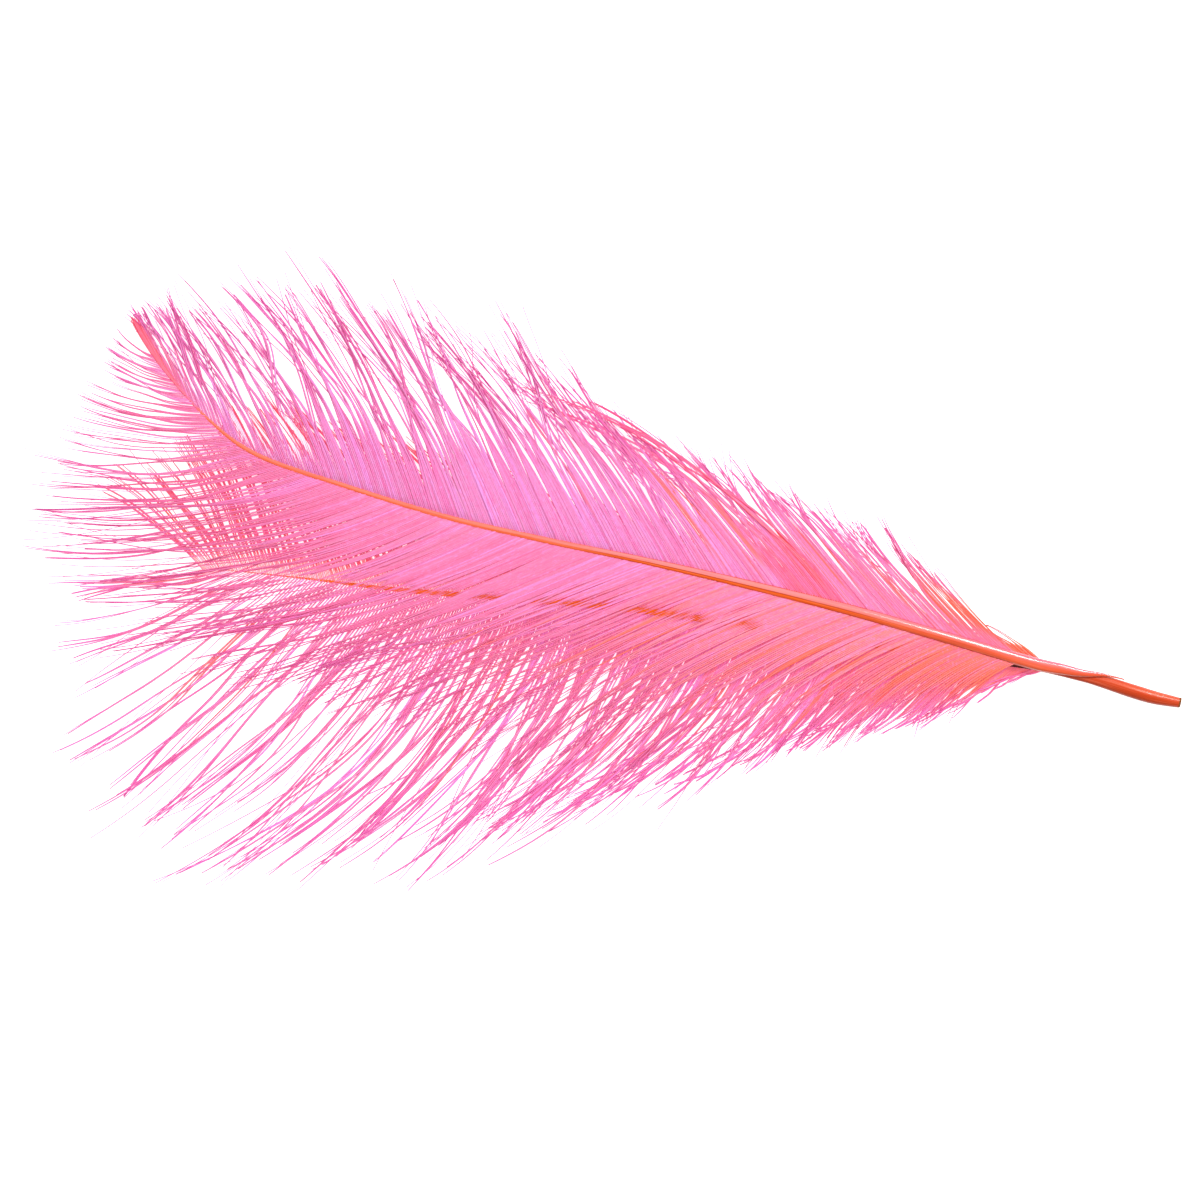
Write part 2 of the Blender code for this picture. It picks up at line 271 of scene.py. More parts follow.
def horn_finish(name, bands, base_bands, bands_end, far, gloss, glow):
    """Dyed horn: bands of colour across the shaft, darkened towards its edges as painted shade, fine
    streaks along it, a soft polish, and a painted glow away from the quill.
    """
    material, surface, start = new_finish(name)
    across = start.measure("across")
    along = start.measure("along")
    cut = start.measure("cut")
    streak = start.grain(1.0, 4.0, along * 0.05, across * 9.0)
    blotch = start.grain(1.0, 3.0, along * 0.22, across * 1.5)
    place = across + (streak - 0.5) * 0.06
    towards_tip = along.rise(*bands_end)
    colour = towards_tip.mix(place.ramp(base_bands), place.ramp(bands))
    colour = (along.rise(130.0, 210.0) * 0.7).mix(colour, far)
    colour = ((streak - 0.5) * 2.2).mix(colour, dye(244, 128, 96))
    colour = ((0.47 - streak) * 2.4).mix(colour, dye(176, 56, 22))
    colour = ((blotch - 0.58) * 1.4).mix(colour, dye(196, 66, 30))
    # Painted shadow: a dark brown-black patch on the south side of the under shaft, 42 to 60 mm from the
    # quill end, where it runs beneath the upper shaft.
    gap_shadow_mask = along.rise(42.0, 46.0) * (1 - along.rise(54.0, 60.0)) * (1 - across.rise(0.2, 0.55))
    colour = (gap_shadow_mask * start.measure("stain")).mix(colour, dye(70, 24, 12))
    colour = (cut * (0.7 + 0.5 * streak)).mix(colour, dye(120, 70, 18))
    feed(start, surface, "Base Color", colour)
    feed(start, surface, "Roughness", 0.34 + 0.28 * towards_tip + 0.25 * (streak - 0.5) + 0.3 * cut)
    feed(start, surface, "Coat Weight", (1 - towards_tip) * (1 - cut) * gloss)
    surface.inputs["Coat Roughness"].default_value = 0.13
    surface.inputs["Specular IOR Level"].default_value = 0.18
    # Painted glow: away from the quill the horn emits its own colour, which lifts its shade under the
    # barbs.
    feed(start, surface, "Emission Color", towards_tip.mix((0.0, 0.0, 0.0, 1.0), colour))
    surface.inputs["Emission Strength"].default_value = glow
    ridges = start.grain(1.0, 5.0, along * 0.12, across * 26.0)
    bump = {"Height": ridges + 0.4 * blotch, "Strength": 0.22, "Distance": 0.00018}
    feed(start, surface, "Normal", start.node("ShaderNodeBump", (), bump))
    return material


def stops(*bands):
    return [(place, dye(*colour)) for place, colour in bands]


under_shaft = Shaft(UNDER_SHAFT)
stations = np.concatenate(
    [[0.0, CUT_EDGE, CUT_EDGE + 0.2], np.arange(2.6, under_shaft.length, SHAFT_STEP), [under_shaft.length]]
)
outside, across, along = shaft_tube(under_shaft, stations)
outside[0, :, 0] -= CUT_SLANT * (outside[0, :, 2] / outside[0, :, 2].max())
middle = outside.mean(axis=1, keepdims=True)
thins_from, thins_to = UNDER_SHAFT_THINS
thin = 1 - UNDER_SHAFT_THINNING * np.clip((stations - thins_from) / (thins_to - thins_from), 0, 1)
outside = middle + (outside - middle) * thin[:, None, None]
bore_stations = np.array([0.0, CUT_EDGE, QUILL_BORE_DEPTH])
bore, bore_across, bore_along = shaft_tube(under_shaft, bore_stations[::-1], QUILL_BORE)
bore[-1, :, 0] -= CUT_SLANT * (bore[-1, :, 2] / outside[0, :, 2].max())
points = np.concatenate([bore, outside])
cut = np.zeros(points.shape[:2])
cut[: len(bore) + 2] = 1.0
faces = tube_faces(len(points), SHAFT_RING)
all_across = np.concatenate([bore_across, across])
feather_piece(
    "under_shaft_and_quill",
    placed(points).reshape(-1, 3),
    faces,
    {
        "across": all_across,
        "along": np.concatenate([bore_along, along]),
        "cut": cut,
        # the under shaft takes the painted shadow where the upper shaft lies over it
        "stain": np.ones(points.shape[:2]),
    },
    horn_finish(
        "orange_horn",
        # Orange dye across the shaft; the darker stops at both edges are painted shade of its rounded
        # sides.
        stops((0.0, (190, 80, 18)), (0.3, (222, 104, 24)), (0.62, (230, 112, 30)), (1.0, (206, 94, 24))),
        stops(
            (0.0, (140, 50, 22)), (0.15, (170, 52, 8)), (0.5, (196, 58, 4)), (0.74, (212, 78, 38)),
            (1.0, (178, 58, 42)),
        ),
        (40.0, 90.0),
        dye(216, 94, 28),
        0.2,
        # the horn's painted glow
        0.5,
    ),
    "under_feather",
)

# The under feather's north vane: some 340 barbs, each a dyed ribbon of horn with a fine keel. Near
# the shaft they lie side by side as a sheet; further out they cling in tufts, and the tufts lean
# together into strands that end in hairs. The other feather covers most of this vane.
BARB_ROWS = 26
THINNEST_BARB = 0.21
UNDER_FALL = 38.0  # the sheet comes down from the shaft to the surface over about this distance
LOW_SHEET = 0.3
LOWEST_BARB = 0.12
UNDER_SPAN = (41.0, 291.0)
UNDER_NORTH_BARBS = (  # distance along the shaft, barb length, angle from the tipward direction
    (57, 22, 25),
    (86, 38, 30),
    (115, 48, 32),
    (145, 54, 34),
    (175, 58, 42),
    (234, 64, 54),
    (254, 57, 58),
    (270, 48, 60),
    (282, 43, 54),
    (292, 41, 36),
)
UNDER_NORTH_PARTING = ((57, 0.5), (145, 0.4), (190, 0.12), (234, 0.02), (292, 0.02))
UNDER_NORTH_BOW = ((50, 0.04), (323, 0.04))
UNDER_CLOSED = ((41, 1.5), (170, 1.4), (215, 0.8), (260, 0.6), (291, 0.5))  # overlap in the sheet
UNDER_NORTH_CROWD = ((41, 0.6), (170, 0.6), (205, 1.3), (260, 1.9), (291, 2.0))  # how close they grow


def under_sheet(plan):
    """The height of the middle of the under feather's sheet."""
    centre, peak = under_shaft.seat(plan[..., 0])
    fall = np.exp(-(((plan[..., 1] - centre) / UNDER_FALL) ** 2))
    return LOW_SHEET + (peak - LOW_SHEET) * fall


def soft_step(x):
    x = np.clip(x, 0, 1)
    return x * x * (3 - 2 * x)


class Vane:
    """One side of a feather: where its barbs run. side is 1 on the north and -1 on the south."""

    def __init__(self, shaft, side, span, barbs, parting, bow, sheet):
        self.shaft = shaft
        self.side = side
        self.span = span
        self.barbs = np.array(barbs, float).T
        self.parting = np.array(parting, float).T
        self.bow = np.array(bow, float).T
        self.sheet = sheet

    def barb(self, s, v, sway):
        """Points at shares v of barbs that grow at distances s, moved sideways by sway times length."""
        length = np.interp(s, self.barbs[0], self.barbs[1])[..., None]
        angle = np.radians(np.interp(s, self.barbs[0], self.barbs[2]))[..., None]
        tipward, north = self.shaft.directions(s)
        outward = north * self.side
        chord = tipward * np.cos(angle) + outward * np.sin(angle)
        sideways = outward * np.cos(angle) - tipward * np.sin(angle)
        bow = np.interp(s, *self.bow)
        aside = (bow * 4 * v * (1 - v) + sway)[..., None]
        return self.shaft.place(s) + length * (chord * v[..., None] + sideways * aside)


def neighbours(count, sizes, rng):
    """Numbers the groups that a row of neighbours falls into. Each group takes one of the sizes."""
    numbers = []
    group = 0
    while len(numbers) < count:
        numbers += [group] * int(rng.choice(sizes))
        group += 1
    return np.array(numbers[:count])


def middle_of(values, group):
    return (np.bincount(group, values) / np.bincount(group))[group]


def comb(
    vane, count, seed, tufts=(1, 2, 2, 3), locks=(1, 1, 2), lean=0.035, cling=0.84, gather=0.5, hold=0.5,
    stout=1.0, ragged=0.25, uneven=0.05, slit=0.4, closed=((0, 1.4), (1, 1.4)), crowd=((0, 1), (1, 1)),
    wisps=0.18, parted_at=None,
):
    """Runs the barbs of a vane: their middle lines, widths, twists and what the dye needs of them.
    Neighbours cling in tufts, and tufts gather in locks that lean aside; hold is how much of that the
    tips keep. stout scales the strands' width, ragged and uneven vary where the sheet parts and how far
    the barbs reach, and slit is how slowly it parts. closed and crowd are tables along the shaft: how
    far the barbs overlap in the sheet, and how close they grow. wisps is the share that are fine single
    hairs. parted_at says where the barbs part over something under them."""
    rng = np.random.default_rng(seed)
    first, last = vane.span
    place = np.linspace(first, last, 400)
    filled = np.cumsum(np.interp(place, *np.array(crowd, float).T))
    root = np.interp(np.linspace(filled[0], filled[-1], count), filled, place)
    pitch = np.gradient(root)
    root = root + pitch * rng.normal(0, 0.08, count)
    each = np.arange(count)
    tuft = neighbours(count, tufts, rng)
    lock = neighbours(tuft.max() + 1, locks, rng)[tuft]

    def by(group, spread):
        return rng.normal(0, spread, group.max() + 1)[group][:, None]

    v = np.linspace(0, 1, BARB_ROWS)[None, :] ** 0.9
    parting = np.interp(root, *vane.parting)[:, None]
    tuft_place = middle_of(root, tuft)[:, None]
    lock_place = middle_of(root, lock)[:, None]
    wisp = (rng.uniform(0, 1, count) < wisps)[:, None]
    opening = soft_step((v - parting * np.maximum(1 + by(tuft, ragged) + by(lock, ragged), 0.4)) / slit)
    joining = soft_step((v - parting - 0.15 - by(lock, 0.08)) / 0.45)
    letting_go = 1 - (1 - hold) * soft_step((v - 0.6) / 0.4)
    s = root[:, None]
    s = s + opening * (cling + by(tuft, 0.1)) * letting_go * (1 - 0.6 * wisp) * (tuft_place - s)
    s = s + joining * (gather + by(lock, 0.12)) * letting_go * (lock_place - tuft_place)
    s = np.clip(s, first - 4, last + 4)

    reach = 1 + by(lock, 0.6 * uneven) + by(tuft, uneven) - np.abs(by(each, 0.06))
    sway = joining * v * by(lock, lean) + opening * v**2 * by(tuft, lean)
    sway = sway + v**3 * by(each, 0.2 * lean)
    bend = by(lock, 0.3 * lean) + by(tuft, 0.3 * lean) + by(each, 0.04 * lean)
    sway = sway + 4 * v * (1 - v) * opening * bend
    sway = sway + wisp * v**2 * np.clip(by(each, 0.07), -0.12, 0.12)
    phase = rng.uniform(0, 2 * math.pi, tuft.max() + 1)[tuft][:, None]
    sway = sway + opening * 0.006 * np.sin(9 * v + phase)
    plan = vane.barb(s, v * reach, sway)

    loose = np.broadcast_to(opening, plan.shape[:2])
    lift = loose * (by(lock, 0.22) + by(tuft, 0.2)) + (0.05 + 0.13 * loose) * by(each, 1)
    z = np.maximum(vane.sheet(plan) + lift, LOWEST_BARB)
    centre = np.concatenate([plan, z[..., None]], axis=-1)

    angle = np.radians(np.interp(root, vane.barbs[0], vane.barbs[2])) + 4 * np.interp(root, *vane.bow)
    overlap = np.interp(root, *np.array(closed, float).T)
    sheet_width = (overlap * pitch * np.sin(np.minimum(angle, 1.4)))[:, None] * (1 + by(each, 0.1))
    strand_width = 0.52 * stout * (1 + by(each, 0.2)) * (1 - 0.45 * wisp)
    width = sheet_width + (strand_width - sheet_width) * soft_step((v - 0.6 * parting) / (slit + 0.05))
    width = np.maximum(width * (1 - 0.45 * v**2.5) * (1 - 0.3 * v**16), THINNEST_BARB)
    if parted_at:
        run = neighbours(count, (4, 6, 8, 10), rng)
        opened = (rng.uniform(0, 1, run.max() + 1)[run] < 0.7) & (rng.uniform(0, 1, count) < 0.93)
        width = width * (1 - 0.96 * parted_at(plan) * opened[:, None])
    twist = 0.2 * vane.side + loose * v * (by(tuft, 0.25) + by(each, 0.2))
    tone = 0.45 * rng.uniform(0, 1, tuft.max() + 1)[tuft] + 0.55 * rng.uniform(0, 1, count)
    measures = {
        "along": v + 0 * root[:, None],
        "station": (root[:, None] + 0 * v) / vane.shaft.length,
        "loose": loose,
        "tone": tone[:, None] + 0 * v,
        "fleck": rng.uniform(0, 1, count)[:, None] + 0 * v,
        "blush": rng.uniform(0, 1, tuft.max() + 1)[tuft][:, None] + 0 * v,
    }
    return centre, np.broadcast_to(width, plan.shape[:2]), twist, measures


def barb_mesh(centre, width, twist):
    """Closed three-sided ribbons: two edges and a keel along each barb's middle line, in metres."""
    ahead = np.gradient(centre, axis=1)
    ahead /= np.linalg.norm(ahead, axis=-1, keepdims=True)
    aside = np.cross((0, 0, 1), ahead)
    aside /= np.linalg.norm(aside, axis=-1, keepdims=True)
    above = np.cross(ahead, aside)
    turn = np.broadcast_to(twist, width.shape)[..., None]
    half = width[..., None] / 2
    flat = aside * np.cos(turn) + above * np.sin(turn)
    keel = above * np.cos(turn) - aside * np.sin(turn)
    ridge = 0.06 + np.minimum(0.5 * half, 0.2)
    rim = np.stack([centre + flat * half, centre + keel * ridge, centre - flat * half], 2)
    rim[..., 2] = np.maximum(rim[..., 2], 0.02)
    barbs, rows = width.shape
    start = (np.arange(barbs) * rows * 3)[:, None, None]
    row = (np.arange(rows - 1) * 3)[None, :, None]
    corner = np.array([0, 1, 2])[None, None, :]
    following = np.array([1, 2, 0])[None, None, :]
    here = start + row
    corners = [here + corner, here + following, here + 3 + following, here + 3 + corner]
    quads = np.stack(corners, axis=-1).reshape(-1, 4)
    first = start[:, 0] + np.array([[2, 1, 0]])
    last = start[:, 0] + (rows - 1) * 3 + np.array([[0, 1, 2]])
    return placed(rim).reshape(-1, 3), quads.tolist() + first.tolist() + last.tolist()


def barb_piece(name, combed, finish, node):
    centre, width, twist, measures = combed
    points, faces = barb_mesh(centre, width, twist)
    spread = {key: np.repeat(value[..., None], 3, axis=2) for key, value in measures.items()}
    spread["edge"] = np.broadcast_to(np.array([1.0, 0.0, 1.0]), width.shape + (3,))
    feather_piece(name, points, faces, spread, finish, node)


def barb_finish(
    name, sheet, base, ember, strand, bright, deep_and_edge_shade, tip, flush=0.03, outer_ember=1.0, root_ember=0.0,
    quill_ember=0.8, far_ember=0.0, tip_ember=0.0, glow=0.26,
):
    """Dyed barbs: the sheet's colour, the colour near the quill, brighter and deeper barbs among them,
    painted shade that darkens each barb's edges, and darker hair tips. The dye is orange in a share of
    the barbs, flush, and on the first barbs' outer parts, at the roots, beside the quill, at the feather's
    far end and beside the shaft's tip as the other embers say. glow is a painted glow: the barbs emit
    their own colour, which lifts their shade."""
    material, surface, start = new_finish(name)
    along = start.measure("along")
    station = start.measure("station")
    loose = start.measure("loose")
    tone = start.measure("tone")
    fleck = start.measure("fleck")
    blush = start.measure("blush")
    edge = start.measure("edge")
    streak = start.grain(1.0, 3.0, along * 7.0, fleck * 23.0, tone * 9.0)
    speck = start.grain(1.0, 2.0, along * 60.0, fleck * 31.0, station * 40.0)
    cloud = start.grain(1.0, 2.0, along * 2.2, station * 14.0)
    near_quill = 1 - (station + 0.25 * (streak - 0.5) + 0.35 * (cloud - 0.5)).rise(0.16, 0.5)
    colour = near_quill.mix(sheet, base)
    colour = (near_quill * fleck.rise(0.5, 1.0) * 0.75).mix(colour, ember)
    colour = ((1 - along.rise(0.08, 0.3)) * root_ember).mix(colour, ember)
    beside_quill = (1 - (station + 0.1 * streak).rise(0.16, 0.3)) * (1 - along.rise(0.3, 0.75))
    colour = (beside_quill * quill_ember).mix(colour, ember)
    far_end = (station + 0.06 * streak).rise(0.83, 0.9) * (1 - along.rise(0.45, 0.8))
    colour = (far_end * far_ember).mix(colour, ember)
    beside_tip = station.rise(0.86, 0.96) * (1 - along.rise(0.35, 0.85))
    colour = (beside_tip * tip_ember).mix(colour, ember)
    colour = ((1 - tone.rise(0.15, 0.5)) * (1 - 0.6 * near_quill) * (0.7 + 0.1 * loose)).mix(colour, bright)
    colour = (tone.rise(0.5, 0.85) * (0.42 + 0.48 * loose)).mix(colour, strand)
    colour = ((streak - 0.45) * (1.0 + 1.6 * loose)).mix(colour, strand)
    colour = ((speck - 0.52) * 2.2 * (1 - 0.5 * loose)).mix(colour, strand)
    colour = ((0.46 - speck) * 2.6 * (1 - 0.5 * loose)).mix(colour, bright)
    colour = (fleck.rise(0.86, 0.93) * (0.05 + 0.4 * loose)).mix(colour, deep_and_edge_shade)
    colour = (along.rise(0.5, 1.0) * 0.6).mix(colour, tip)
    outer = (1 - station.rise(0.115, 0.155)) * (along + 0.5 * (streak - 0.5)).rise(0.1, 0.45) * outer_ember
    colour = (outer * (1 - 0.75 * along.rise(0.55, 0.85)) * 0.85).mix(colour, ember)
    flushed = 1 - (blush - 0.18 * near_quill).rise(flush, flush + 0.06)
    colour = (flushed * along.rise(0.1, 0.3) * (1 - along.rise(0.5, 0.8)) * 0.7).mix(colour, ember)
    # Painted shade: each barb darkens towards its two edges, more where it is loose, as if its rounded
    # sides fell into shade.
    colour = (edge.rise(0.55, 1.0) * (0.2 + 0.4 * loose)).mix(colour, deep_and_edge_shade)
    feed(start, surface, "Base Color", colour)
    feed(start, surface, "Roughness", 0.62 + 0.2 * (streak - 0.5) - 0.12 * loose)
    surface.inputs["Specular IOR Level"].default_value = 0.18
    # Painted glow: the barbs emit their own colour, a little less where they are loose, which lifts the
    # shade between their layers.
    feed(start, surface, "Emission Color", (loose * 0.15).mix(colour, (0.0, 0.0, 0.0, 1.0)))
    surface.inputs["Emission Strength"].default_value = glow
    surface.inputs["Sheen Weight"].default_value = 0.06
    surface.inputs["Sheen Roughness"].default_value = 0.5
    ribs = start.grain(1.0, 2.0, along * 160.0, fleck * 40.0)
    bump = {"Height": ribs, "Strength": 0.3, "Distance": 0.00008}
    feed(start, surface, "Normal", start.node("ShaderNodeBump", (), bump))
    return material


under_barb_dye = barb_finish(
    "coral_barbs",
    sheet=dye(242, 122, 156),
    base=dye(244, 130, 150),
    ember=dye(238, 104, 72),
    strand=dye(236, 96, 146),
    bright=dye(242, 142, 208),
    deep_and_edge_shade=dye(206, 62, 106),
    tip=dye(230, 92, 88),
    flush=0.12,
    root_ember=0.8,
    far_ember=0.5,
    glow=0.38,
)
under_north = Vane(
    under_shaft, 1, UNDER_SPAN, UNDER_NORTH_BARBS, UNDER_NORTH_PARTING, UNDER_NORTH_BOW, under_sheet
)
barb_piece(
    "under_north_barbs",
    comb(
        under_north, 340, 11, tufts=(2, 3, 4), locks=(1, 2, 3), lean=0.016, cling=0.55, hold=1.0,
        stout=0.85, slit=0.25, closed=UNDER_CLOSED, crowd=UNDER_NORTH_CROWD, wisps=0.1,
    ),
    under_barb_dye,
    "under_feather",
)

# The under feather's south vane: the longest barbs that show, coral where they lie under the other
# feather and violet-pink where they come out from below it as open strands and hairs.
UNDER_SOUTH_BARBS = (
    (41, 10, 26),
    (49, 20, 40),
    (57, 28, 50),
    (76, 34, 56),
    (92, 42, 57),
    (109, 56, 58),
    (127, 70, 57),
    (145, 84, 58),
    (164, 89, 59),
    (181, 96, 59),
    (215, 104, 54),
    (232, 100, 53),
    (249, 94, 48),
    (263, 82, 42),
    (273, 66, 29),
    (282, 53, 17),
    (292, 42, 8),
)
UNDER_SOUTH_PARTING = (
    (45, 0.2), (60, 0.4), (92, 0.5), (120, 0.25), (145, 0.1), (181, 0.04), (292, 0.02),
)
UNDER_SOUTH_BOW = ((57, 0.05), (92, 0.085), (200, 0.08), (240, 0.045), (292, 0.02))
UNDER_SOUTH_CROWD = (
    (41, 1.5), (92, 1.9), (160, 1.8), (215, 1.4), (250, 1.1), (270, 0.9), (291, 1.0),
)
under_south = Vane(
    under_shaft, -1, UNDER_SPAN, UNDER_SOUTH_BARBS, UNDER_SOUTH_PARTING, UNDER_SOUTH_BOW, under_sheet
)
barb_piece(
    "under_south_barbs",
    comb(
        under_south, 430, 12, locks=(1, 2, 2), lean=0.042, gather=0.56, stout=1.15, uneven=0.07,
        closed=UNDER_CLOSED, crowd=UNDER_SOUTH_CROWD,
    ),
    barb_finish(
        "rose_coral_barbs",
        sheet=dye(235, 135, 176),
        base=dye(242, 138, 178),
        ember=dye(240, 116, 94),
        strand=dye(226, 100, 160),
        bright=dye(234, 140, 218),
        deep_and_edge_shade=dye(206, 64, 106),
        tip=dye(218, 92, 180),
        outer_ember=0.0,
        far_ember=0.75,
        glow=0.34,
    ),
    "under_feather",
)

# The upper feather's shaft: the same dyed horn, laid over the under feather. Its end is shaved to a
# thin sliver that lies along the quill, and it thins towards the tip of the plume.
UPPER_SHAFT = (
    (-18.4, 0.6, 0.4, 0.4, 2.7),
    (-20.5, 0.4, 0.5, 0.5, 2.9),
    (-24.0, -0.1, 0.9, 0.7, 3.0),
    (-27.0, -0.9, 1.5, 0.9, 3.1),
    (-31.0, -2.0, 2.2, 1.2, 3.2),
    (-37.0, -3.0, 3.2, 1.8, 3.6),
    (-46.4, -4.4, 3.7, 2.8, 4.6),
    (-70.7, -6.1, 3.6, 3.3, 6.5),
    (-101.5, -8.5, 3.4, 3.2, 8.0),
    (-131.6, -11.9, 2.8, 2.7, 8.9),
    (-161.5, -15.8, 2.3, 2.2, 9.2),
    (-191.1, -20.3, 2.0, 1.8, 9.0),
    (-221.5, -24.2, 1.7, 1.5, 8.2),
    (-252.1, -26.0, 1.5, 1.3, 6.8),
    (-279.7, -26.5, 1.4, 1.2, 5.2),
    (-297.1, -21.7, 1.3, 1.2, 4.0),
    (-312.8, -13.3, 1.8, 1.1, 2.8),
    (-322.0, -6.5, 2.5, 1.0, 2.0),
    (-330.0, 0.0, 2.2, 0.9, 1.2),
)
UPPER_SHAFT_THINS = (262.0, 308.0)  # between these distances the brush takes over from the horn
UPPER_SHAFT_THINNING = 0.85
upper_shaft = Shaft(UPPER_SHAFT)
thins_from, thins_to = UPPER_SHAFT_THINS
stations = np.append(np.arange(0.0, thins_to, SHAFT_STEP), thins_to)
points, across, along = shaft_tube(upper_shaft, stations)
middle = points.mean(axis=1, keepdims=True)
thin = 1 - UPPER_SHAFT_THINNING * soft_step((stations - thins_from) / (thins_to - thins_from))
points = middle + (points - middle) * thin[:, None, None]
faces = tube_faces(len(points), SHAFT_RING)
feather_piece(
    "upper_shaft",
    placed(points).reshape(-1, 3),
    faces,
    {"across": across, "along": along, "cut": 0 * along, "stain": 0 * along},
    horn_finish(
        "coral_horn",
        # Orange south half and coral-pink north half are dye; the dark stops at both edges are painted
        # shade of the rounded sides, and the thin dark line just south of the middle is painted shade of a
        # groove the tube doesn't have.
        stops(
            (0.0, (160, 56, 6)), (0.12, (222, 84, 6)), (0.34, (232, 92, 12)), (0.42, (156, 50, 12)),
            (0.49, (242, 124, 122)), (0.84, (244, 124, 130)), (0.94, (190, 66, 36)),
        ),
        stops(
            (0.0, (170, 54, 14)), (0.2, (218, 74, 18)), (0.45, (232, 84, 48)), (0.62, (240, 102, 98)),
            (0.88, (242, 108, 130)), (1.0, (186, 56, 100)),
        ),
        (45.0, 100.0),
        dye(242, 112, 80),
        0.9,
        0.12,
    ),
    "upper_feather",
)

# The upper feather's north vane: a dense violet-pink sheet beside the shaft that parts into long
# wavy strands. Next to the quill the barbs are short and orange.
UPPER_SPAN = (31.0, 305.0)
UPPER_NORTH_FALL = 26.0
UPPER_SOUTH_FALL = 34.0
FREE_TIP_SHEET = 0.3
STACK = 0.9  # the upper sheet lies this much above the middle of the under one
COVERED_EDGE = ((-335.0, -34.0), (-318.0, -26.0), (-290.0, -9.0), (-220.0, 3.0), (-60.0, 4.0))
SLOPE_WIDTH = 15.0
UPPER_NORTH_BARBS = (
    (28, 36, 30),
    (49, 48, 32),
    (83, 54, 36),
    (112, 62, 37),
    (128, 68, 41),
    (143, 79, 44),
    (173, 80, 48),
    (204, 77, 49),
    (231, 72, 43),
    (251, 62, 40),
    (273, 46, 24),
    (293, 27, 9),
    (307, 14, 6),
)
UPPER_NORTH_PARTING = (
    (28, 0.8), (49, 0.7), (83, 0.6), (112, 0.5), (143, 0.36), (173, 0.24), (204, 0.16), (231, 0.08),
    (307, 0.05),
)
UPPER_NORTH_BOW = ((33, -0.02), (83, 0.0), (112, 0.025), (204, 0.035), (240, 0.06), (307, 0.04))
OVER_UNDER_TIPS = (-279.0, -18.0)
OVER_UNDER_TIPS_SIZE = (15.0, 6.5)
UPPER_NORTH_CLOSED = ((31, 1.5), (200, 1.4), (235, 1.2), (262, 1.0), (305, 0.9))
UPPER_NORTH_CROWD = ((31, 1.7), (60, 1.5), (143, 1.3), (180, 1.2), (260, 1.2), (305, 1.0))


def upper_sheet(plan):
    """The height of the middle of the upper feather's sheet, which lies on the under feather."""
    x, y = plan[..., 0], plan[..., 1]
    centre, peak = upper_shaft.seat(x)
    edge = np.interp(x, *np.array(COVERED_EDGE).T)
    free = soft_step((y - edge) / SLOPE_WIDTH)
    bed = FREE_TIP_SHEET * free + (under_sheet(plan) + STACK) * (1 - free)
    reach = np.where(y > centre, UPPER_NORTH_FALL, UPPER_SOUTH_FALL)
    return bed + (peak - bed) * np.exp(-(((y - centre) / reach) ** 2))


def over_under_tips(plan):
    """Where the barbs part over the orange ends of the under feather's north barbs."""
    offset = (plan - OVER_UNDER_TIPS) / OVER_UNDER_TIPS_SIZE
    return np.exp(-((offset**2).sum(axis=-1) ** 2))


upper_north = Vane(
    upper_shaft, 1, UPPER_SPAN, UPPER_NORTH_BARBS, UPPER_NORTH_PARTING, UPPER_NORTH_BOW, upper_sheet
)
barb_piece(
    "upper_north_barbs",
    comb(
        upper_north, 470, 27, tufts=(1, 2, 2, 3, 4), lean=0.046, cling=0.76, gather=0.36, stout=0.92,
        ragged=0.32, slit=0.5, closed=UPPER_NORTH_CLOSED, crowd=UPPER_NORTH_CROWD,
        parted_at=over_under_tips,
    ),
    barb_finish(
        "violet_pink_barbs",
        sheet=dye(214, 131, 180),
        base=dye(228, 133, 168),
        ember=dye(236, 100, 64),
        strand=dye(220, 94, 160),
        bright=dye(220, 139, 206),
        deep_and_edge_shade=dye(200, 46, 106),
        tip=dye(214, 88, 166),
        quill_ember=0.3,
        tip_ember=0.6,
    ),
    "upper_feather",
)

# A handful of the north vane's longer barbs, stuck together and brushed over towards the tip, so that
# they lie across the others as one coral streak.
BRUSHED_SPAN = (84.0, 101.0)
BRUSHED_BARBS = ((84, 111, 21.5), (101, 102, 22.5))
BRUSHED_PARTING = ((84, 0.05), (101, 0.05))
BRUSHED_BOW = ((84, 0.085), (101, 0.075))
BRUSHED_CLOSED = ((84, 0.4), (101, 0.4))
BRUSHED_STACK = 0.4  # the handful lies this much above the sheet


def brushed_sheet(plan):
    return upper_sheet(plan) + BRUSHED_STACK


brushed_north = Vane(
    upper_shaft, 1, BRUSHED_SPAN, BRUSHED_BARBS, BRUSHED_PARTING, BRUSHED_BOW, brushed_sheet
)
barb_piece(
    "upper_brushed_barbs",
    comb(
        brushed_north, 24, 23, tufts=(3, 4), locks=(2, 3), lean=0.012, uneven=0.08, wisps=0.0,
        closed=BRUSHED_CLOSED,
    ),
    barb_finish(
        "coral_brushed_barbs",
        sheet=dye(242, 124, 170),
        base=dye(242, 122, 150),
        ember=dye(240, 100, 84),
        strand=dye(240, 90, 128),
        bright=dye(242, 136, 200),
        deep_and_edge_shade=dye(196, 50, 92),
        tip=dye(230, 88, 146),
        outer_ember=0.0,
        glow=0.4,
    ),
    "upper_feather",
)

